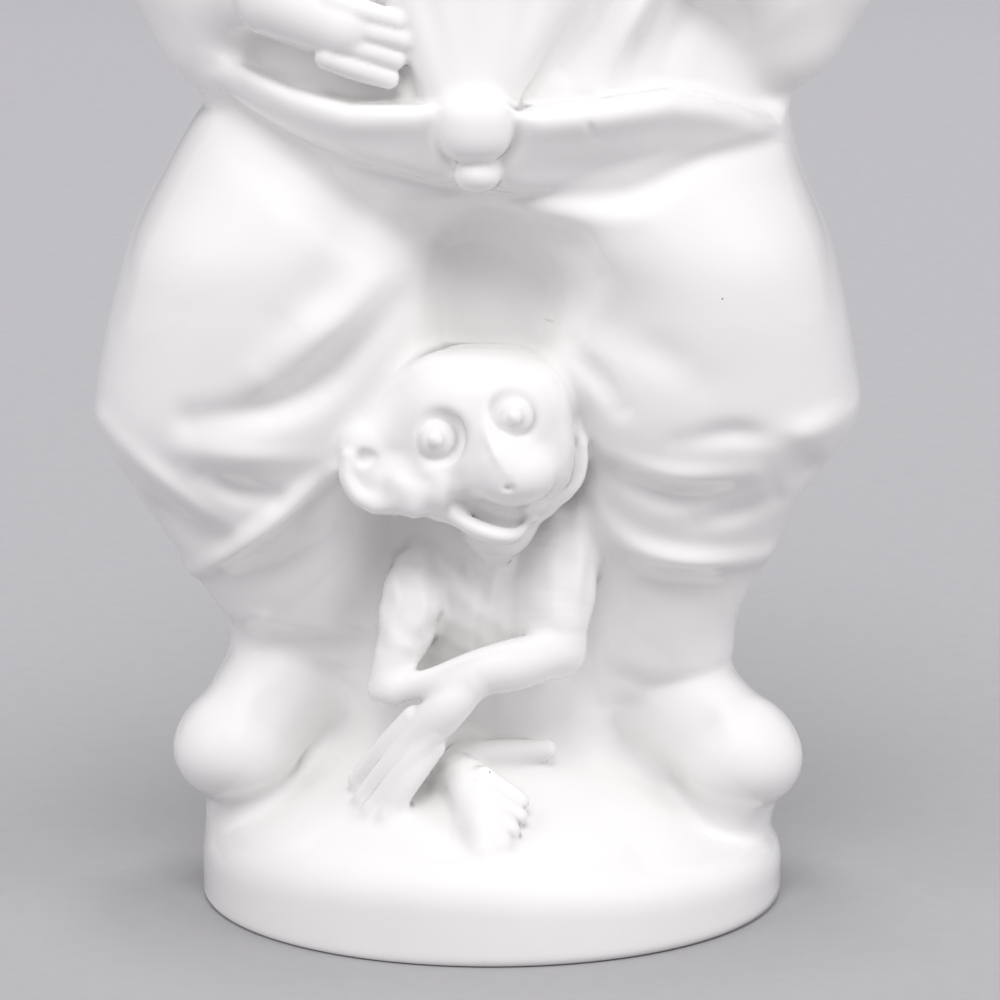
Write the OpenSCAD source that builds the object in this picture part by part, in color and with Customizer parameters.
// Porcelain figurine: a clown in baggy trousers standing astride a seated monkey
// on a round plinth. Slip-cast hollow pieces and small solid pieces, luted together.
// Millimetres. +Z up, front towards -Y, origin at the centre of the plinth's underside.
// Left and right are as seen from the front, so left pieces lie at negative X.

/* [Plinth] */
// Diameter of the plinth
plinth_d = 60.2; // [59:0.2:61.4]
// Height of the plinth's rim
plinth_h = 7.2; // [6.8:0.2:8]
// Radius of the rounded top edge
edge_r = 1.6; // [1:0.2:2.2]
// Rise of the ground above the rim, behind the monkey
mound_h = 14; // [13:0.5:15]
// Diameter of the firing vent in the underside
vent_d = 3; // [2:0.5:4]

/* [Porcelain] */
// Wall thickness of the hollow castings
wall = 3; // [2.6:0.1:3.4]

/* [Clown heights] */
// Top of the shoes, where the trousers are gathered
ankle_z = 25.6; // [25.2:0.1:26]
// Underside of the hips, where the legs join
fork_z = 62; // [61:0.5:63]
// Waist, where the blouse meets the trousers
waist_z = 83; // [82.5:0.5:84]
// Top of the shoulders, under the ruff
neck_z = 118; // [117:0.5:119]
// Top of the ruff, where the head is set
chin_z = 121.4; // [121:0.2:121.8]
// Lower rim of the hat
hat_z = 140; // [139.6:0.2:140.4]
// Top of the pompom
figure_h = 163; // [161:0.5:165]

/* [Clown widths] */
// Widest reach of the left trouser leg from the middle
left_reach = 40.7; // [40:0.1:41.4]
// Widest reach of the right trouser leg from the middle
right_reach = 38.1; // [37.4:0.1:38.8]
// Half the depth of the trousers at the knees
knee_depth = 18.5; // [17.5:0.5:19.5]
// Half the width of the waist
waist_half = 29.5; // [29:0.1:30]

/* [Shoes] */
// Length from heel centre to toe centre
shoe_l = 15; // [14:0.5:16]
// Radius of the bulbous toe
toe_r = 6.2; // [5.8:0.1:6.6]
// Angle that the toes turn out from straight ahead
turn_out = 37; // [34:1:40]

/* [Buttons] */
// Radius of the pompon that closes the front panel
upper_button_r = 4.2; // [3.8:0.1:4.6]
// Radius of the smaller pompon below it
lower_button_r = 3; // [2.6:0.1:3.4]

/* [Head] */
// Half the width of the head
head_half = 9.6; // [9.2:0.1:10]
// Radius of the nose
nose_r = 1.9; // [1.7:0.1:2.1]
// Radius of the pompom on the hat
pompom_r = 3.2; // [3:0.1:3.4]

/* [Monkey] */
// Half the width of the monkey's head
monkey_head_half = 11.6; // [11:0.1:12]
// Tilt of the monkey's head to its left
monkey_tilt = 20; // [16:1:24]

/* [Hidden] */

porcelain = "white";
unglazed = "whitesmoke";

// Sides of a lofted ring
loft_sides = 24;
// Steps from one given ring or bead to the next
loft_steps = 2;
limb_steps = 2;
// Sides of a large round form, of a small one or one inside a hull, and of a limb
round_sides = 32;
small_sides = 20;
bead_sides = 16;

plinth_r = plinth_d / 2;
plinth_floor = 3.2;
// The ground's peak is a ball of this radius, centred here.
mound_r = 7;
mound_at = [-2, 7, plinth_h + mound_h - mound_r];
vent_y = 12;
head_c = [0, -1, 131.4];
head_deep = 10.4;
head_tall = 11.8;
monkey_head_c = [-1.6, -13, 50];
monkey_head_deep = 9.6;
monkey_head_tall = 10.6;
hat_lean = [2.6, 1.5];
pompom_c = [hat_lean[0], hat_lean[1], figure_h - pompom_r];

// Rings are [z, middle x, middle y, half width, half depth, squareness].
leg_rings_left = [
    for (r = [[ankle_z, 27.3, 12.6, 2.2, 7.4, 2], [28, 27.4, 12.2, 2.0, 8.0, 2],
            [33, 30.0, 11.4, 1.4, 10.4, 2.1], [38.5, 33.2, 10.8, 1.0, 13.4, 2.2],
            [44, 37.4, 9.8, 0.6, 16.0, 2.3], [50, left_reach - 0.4, 8.4, 0.2, knee_depth, 2.3],
            [54, left_reach, 6.2, 0, knee_depth + 0.6, 2.3], [fork_z, 39.2, 0, 0, 19.6, 2.4]])
        [r[0], -(r[1] + r[2]) / 2, r[3], (r[1] - r[2]) / 2, r[4], r[5]]
];
leg_rings_right = [
    for (r = [[ankle_z, 25.2, 11.4, 2.2, 7.2, 2], [28, 25.3, 11.0, 2.0, 7.8, 2],
            [33, 27.0, 10.6, 1.4, 10.0, 2.1], [38.5, 30.6, 10.2, 1.0, 13.0, 2.2],
            [44, 34.0, 9.4, 0.6, 15.6, 2.3], [50, right_reach - 1, 8.0, 0.2, knee_depth - 0.3, 2.3],
            [54, right_reach, 6.0, 0, knee_depth + 0.4, 2.3], [fork_z, 36.8, 0, 0, 19.6, 2.4]])
        [r[0], (r[1] + r[2]) / 2, r[3], (r[1] - r[2]) / 2, r[4], r[5]]
];
hips_rings = [
    [fork_z, -1.2, 0, 38.0, 19.6, 2.4],
    [68, -0.9, 0, 36.7, 19.8, 2.4],
    [74, -0.7, 0, 34.4, 19.6, 2.3],
    [79, -0.3, 0, 32.0, 19.0, 2.2],
    [waist_z, 0.1, 0, waist_half, 18.2, 2.2]
];
blouse_rings = [
    [waist_z, 0.1, 0, waist_half, 18.2, 2.2],
    [91, 0.1, 0, 27.2, 18.4, 2.2],
    [100, 0, 0.2, 24.4, 17.6, 2.2],
    [109, 0, 0.4, 23.0, 15.4, 2.3],
    [114.5, 0, 0.4, 19.0, 12.6, 2.2],
    [neck_z, 0, 0.4, 10.5, 9.4, 2]
];
// The band is a rolled hem that hangs lower in front than at the sides.
band_rings = [
    [0, 0, 0, 31.2, 20.0, 2.2],
    [2.5, 0, 0, 32.2, 21.4, 2.2],
    [6.5, 0, 0, 31.0, 21.2, 2.2],
    [9.5, 0, 0, 28.0, 19.2, 2.2]
];
band_lift = [0, 0, 77.2];
band_tip = -4;
support_rings = [
    [8, 0, 5, 10, 6, 2.4],
    [20, 0, 5, 11.4, 7, 2.4],
    [30, 0, 5, 15.5, 8, 2.4],
    [46, 0, 4, 14.5, 11, 2.4],
    [fork_z, 0, 2, 12, 14, 2.4]
];
monkey_body_rings = [
    [8, -0.6, -7, 10.4, 6.0, 2.2],
    [16, -0.8, -6.6, 9.6, 5.6, 2.2],
    [26, -1.0, -7.6, 8.8, 6.6, 2.1],
    [34, -1.1, -8, 8.8, 6.8, 2.1],
    [40, -1.2, -8.5, 7.4, 6.0, 2],
    [44, -1.4, -9, 4.6, 4.2, 2]
];

// Limbs are lists of [x, y, z, radius], chosen along the middle of the limb.
sleeve_path_left = [[-17, 1, 113, 8], [-26, 2, 109, 8.6], [-31, 0.5, 101, 8.4], [-26, -8, 95.8, 7.2],
    [-20.5, -14, 94.8, 5.6]];
sleeve_path_right = [[17, 1, 113, 8], [27, 2, 109.5, 8.6], [33, 0.5, 101.5, 8.4], [28, -8, 97.5, 7.2],
    [21.5, -13.5, 99, 5.6]];
hand_path_left = [[-19.5, -15.5, 94.2, 4.6], [-15.5, -18.6, 93.6, 5], [-11, -19.6, 92.6, 4.6],
    [-7.5, -20, 92, 3.4]];
hand_path_right = [[20.5, -14.5, 100, 4.6], [16.8, -17, 102.4, 5], [13.2, -17.8, 104.8, 4.6],
    [10.6, -18, 107, 3.4]];
monkey_arm_path_left = [[-8.6, -9, 37, 3.4], [-10.6, -10.5, 31, 3], [-11.4, -13, 26, 3],
    [-9.6, -16, 25.4, 2.6]];
monkey_arm_path_right = [[6.6, -9, 37, 3.4], [8.8, -10.5, 31, 3.1], [8.6, -14, 27.6, 3],
    [1, -17.6, 28.4, 2.6], [-5.4, -19, 26.8, 2.5], [-9.4, -20.6, 22, 2.7], [-12.6, -21.4, 17.4, 1.9]];

function signed_power(v, e) = sign(v) * pow(abs(v), e);

// Smooth list through the given rows, by Catmull-Rom curves.
function row(rows, i) = rows[max(0, min(len(rows) - 1, i))];
function between(a, b, c, d, t) =
    0.5 * (2 * b + (c - a) * t + (2 * a - 5 * b + 4 * c - d) * t * t
        + (3 * b - 3 * c + d - a) * t * t * t);
function smooth(rows, steps) = concat(
    [for (i = [0:len(rows) - 2], k = [0:steps - 1])
        between(row(rows, i - 1), row(rows, i), row(rows, i + 1), row(rows, i + 2), k / steps)],
    [rows[len(rows) - 1]]);

// One superellipse ring, drawn in by the inset.
function ring(r, inset = 0) = [
    for (k = [0:loft_sides - 1])
        let (a = 360 * (k + 0.5) / loft_sides)
            [r[1] + (r[3] - inset) * signed_power(cos(a), 2 / r[5]),
             r[2] + (r[4] - inset) * signed_power(sin(a), 2 / r[5]),
             r[0]]
];
function side_faces(rings, sides, start, flip) = [
    for (i = [0:rings - 2], k = [0:sides - 1], half = [0, 1])
        let (a = start + i * sides + k, b = start + i * sides + (k + 1) % sides,
            c = b + sides, d = a + sides, f = half == 0 ? [a, c, b] : [a, d, c])
            flip ? [f[0], f[2], f[1]] : f
];
function cap(sides, start, flip) =
    flip ? [for (k = [sides - 1:-1:0]) start + k] : [for (k = [0:sides - 1]) start + k];
function rim_faces(sides, a0, b0, flip) = [
    for (k = [0:sides - 1], half = [0, 1])
        let (n = (k + 1) % sides, f = half == 0 ? [a0 + k, a0 + n, b0 + n] : [a0 + k, b0 + n, b0 + k])
            flip ? [f[0], f[2], f[1]] : f
];

// A closed solid through the rings.
module loft(rows) {
    rings = smooth(rows, loft_steps);
    n = len(rings);
    polyhedron(
        points = [for (r = rings) each ring(r)],
        faces = concat(side_faces(n, loft_sides, 0, false),
            [cap(loft_sides, 0, false), cap(loft_sides, (n - 1) * loft_sides, true)]),
        convexity = 6);
}

// The same solid as a casting with an even wall, open at both luted ends.
module shell_loft(rows) {
    rings = smooth(rows, loft_steps);
    n = len(rings);
    inner = n * loft_sides;
    last = (n - 1) * loft_sides;
    polyhedron(
        points = concat([for (r = rings) each ring(r)], [for (r = rings) each ring(r, wall)]),
        faces = concat(
            side_faces(n, loft_sides, 0, false),
            side_faces(n, loft_sides, inner, true),
            rim_faces(loft_sides, 0, inner, false),
            rim_faces(loft_sides, last, inner + last, true)),
        convexity = 8);
}

// A round limb with rounded ends.
module limb(path) {
    rows = smooth(path, limb_steps);
    for (i = [0:len(rows) - 2])
        hull() {
            bead(rows[i]);
            bead(rows[i + 1]);
        }
}

module bead(p) {
    translate([p[0], p[1], p[2]])
        sphere(r = p[3], $fn = bead_sides);
}

module ball(centre, radii, sides = round_sides) {
    translate(centre)
        scale(radii)
            sphere(r = 1, $fn = sides);
}

// Keeps what lies above a height.
module above(z) {
    intersection() {
        children();
        translate([-60, -60, z])
            cube([120, 120, 200]);
    }
}

// The plinth's disc with its rounded edge.
module plinth_disc() {
    rotate_extrude($fn = 96)
        polygon(concat(
            [[0, 0], [plinth_r - 0.8, 0], [plinth_r, 0.8]],
            [for (a = [0:15:90]) [plinth_r - edge_r * (1 - cos(a)), plinth_h - edge_r * (1 - sin(a))]],
            [[0, plinth_h]]));
}

// The ground slopes up from the rim to a round peak behind the monkey.
module ground_solid() {
    plinth_disc();
    hull() {
        translate([0, 0, plinth_h - 2.4])
            cylinder(r = plinth_r - edge_r, h = 2, $fn = 80);
        ball(mound_at, [mound_r, mound_r, mound_r]);
    }
}

module base_plinth() {
    color(unglazed)
        difference() {
            ground_solid();
            hull() {
                translate([0, 0, plinth_floor])
                    cylinder(r = plinth_r - 2.4 * wall, h = 0.8, $fn = 96);
                ball(mound_at, [mound_r - wall, mound_r - wall, mound_r - wall]);
            }
            translate([0, vent_y, -1])
                cylinder(d = vent_d, h = plinth_floor + 2, $fn = 32);
        }
}

// A big clown shoe: round heel, low waist and bulbous toe, cut flat at the ankle.
module shoe_solid(side) {
    heel = [side * 16.9, 6.6, 17];
    toe = heel + [side * shoe_l * sin(turn_out), -shoe_l * cos(turn_out), -1];
    difference() {
        union() {
            hull() {
                ball(heel, [6, 6, 7], small_sides);
                ball((heel + toe) / 2 + [0, 0, 1], [6, 6, 6], small_sides);
                ball((heel + toe) / 2 - [side, 0, 4.4], [7, 7, 5], small_sides);
            }
            hull() {
                ball(toe, [toe_r, toe_r, 5], small_sides);
                ball((heel + toe) / 2 + [0, 0, 0.6], [5.8, 5.8, 5.8], small_sides);
                ball(toe - [side * 2.2, -3, 5], [5.4, 6.4, 4.4], small_sides);
            }
            hull() {
                translate([side * 19.4, 2.2, ankle_z - 0.6])
                    cylinder(r = 5.8, h = 0.6, $fn = small_sides);
                ball((heel + toe) / 2, [6.4, 6.4, 5.6], small_sides);
            }
        }
        ground_solid();
        translate([-60, -60, ankle_z])
            cube([120, 120, 60]);
    }
}

module left_shoe() {
    color(porcelain)
        shoe_solid(-1);
}

module right_shoe() {
    color(porcelain)
        shoe_solid(1);
}

module left_trouser_leg() {
    color(porcelain)
        shell_loft(leg_rings_left);
}

module right_trouser_leg() {
    color(porcelain)
        shell_loft(leg_rings_right);
}

module trouser_hips() {
    color(porcelain)
        shell_loft(hips_rings);
}

// Solid prop between the legs, behind the monkey.
module rear_support() {
    color(porcelain)
        difference() {
            loft(support_rings);
            loft(leg_rings_left);
            loft(leg_rings_right);
            ground_solid();
        }
}

module blouse_body() {
    color(porcelain)
        shell_loft(blouse_rings);
}

module band_solid() {
    translate(band_lift)
        rotate([band_tip, 0, 0])
            loft(band_rings);
}

module blouse_waist_band() {
    color(porcelain)
        difference() {
            band_solid();
            loft(hips_rings);
            loft(blouse_rings);
        }
}

// A V of cloth with rolled edges that narrows to the upper button.
module blouse_front_panel() {
    color(porcelain)
        difference() {
            hull() {
                ball([-1.4, -19.4, 90], [3.6, 3, 3], small_sides);
                ball([-9.5, -13.6, 109], [3, 3, 4], small_sides);
                ball([8, -13.6, 109], [3, 3, 4], small_sides);
            }
            loft(blouse_rings);
            band_solid();
            upper_button_solid();
        }
}

module upper_button_solid() {
    ball([-1.6, -21.6, 86.4], [upper_button_r, upper_button_r, upper_button_r], small_sides);
}

module upper_button() {
    color(porcelain)
        difference() {
            upper_button_solid();
            band_solid();
            loft(blouse_rings);
        }
}

module lower_button() {
    color(porcelain)
        difference() {
            ball([-1.1, -21.2, 81], [lower_button_r, lower_button_r, lower_button_r]);
            band_solid();
            upper_button_solid();
            loft(hips_rings);
        }
}

module left_sleeve() {
    color(porcelain)
        difference() {
            limb(sleeve_path_left);
            loft(blouse_rings);
            band_solid();
        }
}

module right_sleeve() {
    color(porcelain)
        difference() {
            limb(sleeve_path_right);
            loft(blouse_rings);
            band_solid();
        }
}

module left_hand() {
    color(porcelain)
        difference() {
            limb(hand_path_left);
            loft(blouse_rings);
            band_solid();
            limb(sleeve_path_left);
        }
}

module right_hand() {
    color(porcelain)
        difference() {
            limb(hand_path_right);
            loft(blouse_rings);
            band_solid();
            limb(sleeve_path_right);
        }
}

// A flat collar with pressed waves.
module neck_ruff() {
    wave_count = 12;
    color(porcelain)
        translate([0, 0.4, neck_z])
            linear_extrude(height = chin_z - neck_z)
                polygon([for (a = [0:5:355])
                    let (r = 14.4 + 0.9 * cos(wave_count * a)) [r * cos(a), r * sin(a)]]);
}

module head_solid() {
    ball(head_c, [head_half, head_deep, head_tall]);
}

module head() {
    color(porcelain)
        difference() {
            above(chin_z) {
                head_solid();
            }
            ball(head_c, [head_half - wall, head_deep - wall, head_tall - wall]);
            hat_solid();
        }
}

module nose() {
    color(porcelain)
        difference() {
            ball(head_c + [0, -head_deep - 0.4, -0.6], [nose_r, nose_r, nose_r], small_sides);
            head_solid();
        }
}

module ear_solid(side) {
    ball(head_c + [side * (head_half + 0.3), 0.8, -0.4], [1.4, 1.9, 2.8]);
}

module left_ear() {
    color(porcelain)
        difference() {
            ear_solid(-1);
            head_solid();
            tuft_solid(-1);
        }
}

module right_ear() {
    color(porcelain)
        difference() {
            ear_solid(1);
            head_solid();
            tuft_solid(1);
        }
}

// A tuft of hair over each ear, under the hat.
module tuft_solid(side) {
    ball(head_c + [side * (head_half + 0.2), 2.6, 4.6], [3.2, 4.4, 3.6], small_sides);
}

module left_hair_tuft() {
    color(porcelain)
        difference() {
            tuft_solid(-1);
            head_solid();
            hat_solid();
        }
}

module right_hair_tuft() {
    color(porcelain)
        difference() {
            tuft_solid(1);
            head_solid();
            hat_solid();
        }
}

// A soft cone with a rolled brim, leaning a little.
module hat_solid() {
    hull() {
        translate([0, 0, hat_z])
            cylinder(r = 9, h = 2.6, $fn = small_sides);
        ball([hat_lean[0], hat_lean[1], figure_h - 2 * pompom_r - 0.6], [1.6, 1.6, 1.6], small_sides);
    }
    translate([0, 0, hat_z - 0.4])
        cylinder(r = 10.2, h = 2.4, $fn = 64);
}

module hat() {
    color(porcelain)
        hat_solid();
}

module hat_pompom() {
    color(porcelain)
        difference() {
            ball(pompom_c, [pompom_r, pompom_r, pompom_r]);
            hat_solid();
        }
}

module monkey_body_solid() {
    loft(monkey_body_rings);
}

module monkey_body() {
    color(porcelain)
        difference() {
            monkey_body_solid();
            loft(support_rings);
            loft(leg_rings_left);
            loft(leg_rings_right);
            ground_solid();
            monkey_head_solid();
        }
}

module monkey_head_solid() {
    translate(monkey_head_c)
        rotate([0, -monkey_tilt, 0])
            scale([monkey_head_half, monkey_head_deep, monkey_head_tall])
                sphere(r = 1, $fn = round_sides);
}

module monkey_head() {
    color(porcelain)
        difference() {
            monkey_head_solid();
            loft(leg_rings_left);
            loft(leg_rings_right);
            loft(support_rings);
        }
}

module monkey_muzzle() {
    color(porcelain)
        difference() {
            ball([2.6, -20, 48], [6.4, 4.6, 6]);
            monkey_head_solid();
        }
}

module monkey_ear(centre) {
    difference() {
        ball(centre, [2.4, 1.8, 3.8], small_sides);
        monkey_head_solid();
    }
}

module monkey_left_ear() {
    color(porcelain)
        monkey_ear([-13.4, -15.6, 47]);
}

module monkey_right_ear() {
    color(porcelain)
        monkey_ear([10.2, -15.6, 51]);
}

module monkey_left_arm() {
    color(porcelain)
        difference() {
            limb(monkey_arm_path_left);
            monkey_body_solid();
            monkey_head_solid();
        }
}

module monkey_right_arm() {
    color(porcelain)
        difference() {
            limb(monkey_arm_path_right);
            monkey_body_solid();
            monkey_head_solid();
        }
}

module monkey_left_foot() {
    color(porcelain)
        difference() {
            hull() {
                ball([-3.4, -13.4, 15.4], [3, 3, 2.6], small_sides);
                ball([-2.8, -16.6, 15.6], [3.4, 3, 3.6], small_sides);
                ball([-0.6, -24.4, 10.6], [4, 3, 2.6], small_sides);
            }
            ground_solid();
            monkey_body_solid();
        }
}

module monkey_right_foot() {
    color(porcelain)
        difference() {
            hull() {
                ball([-0.8, -13.4, 17.4], [2, 2.4, 1.8], small_sides);
                ball([5.8, -12.8, 17.2], [2, 2.4, 1.8], small_sides);
                ball([3.6, -12.4, 14.4], [3.6, 3.4, 2.4], small_sides);
            }
            ground_solid();
            monkey_body_solid();
            ball([-2.8, -16.6, 15.6], [3.4, 3, 3.6]);
        }
}

base_plinth();
left_shoe();
right_shoe();
left_trouser_leg();
right_trouser_leg();
trouser_hips();
rear_support();
blouse_body();
blouse_waist_band();
blouse_front_panel();
upper_button();
lower_button();
left_sleeve();
right_sleeve();
left_hand();
right_hand();
neck_ruff();
head();
nose();
left_ear();
right_ear();
left_hair_tuft();
right_hair_tuft();
hat();
hat_pompom();
monkey_body();
monkey_head();
monkey_muzzle();
monkey_left_ear();
monkey_right_ear();
monkey_left_arm();
monkey_right_arm();
monkey_left_foot();
monkey_right_foot();
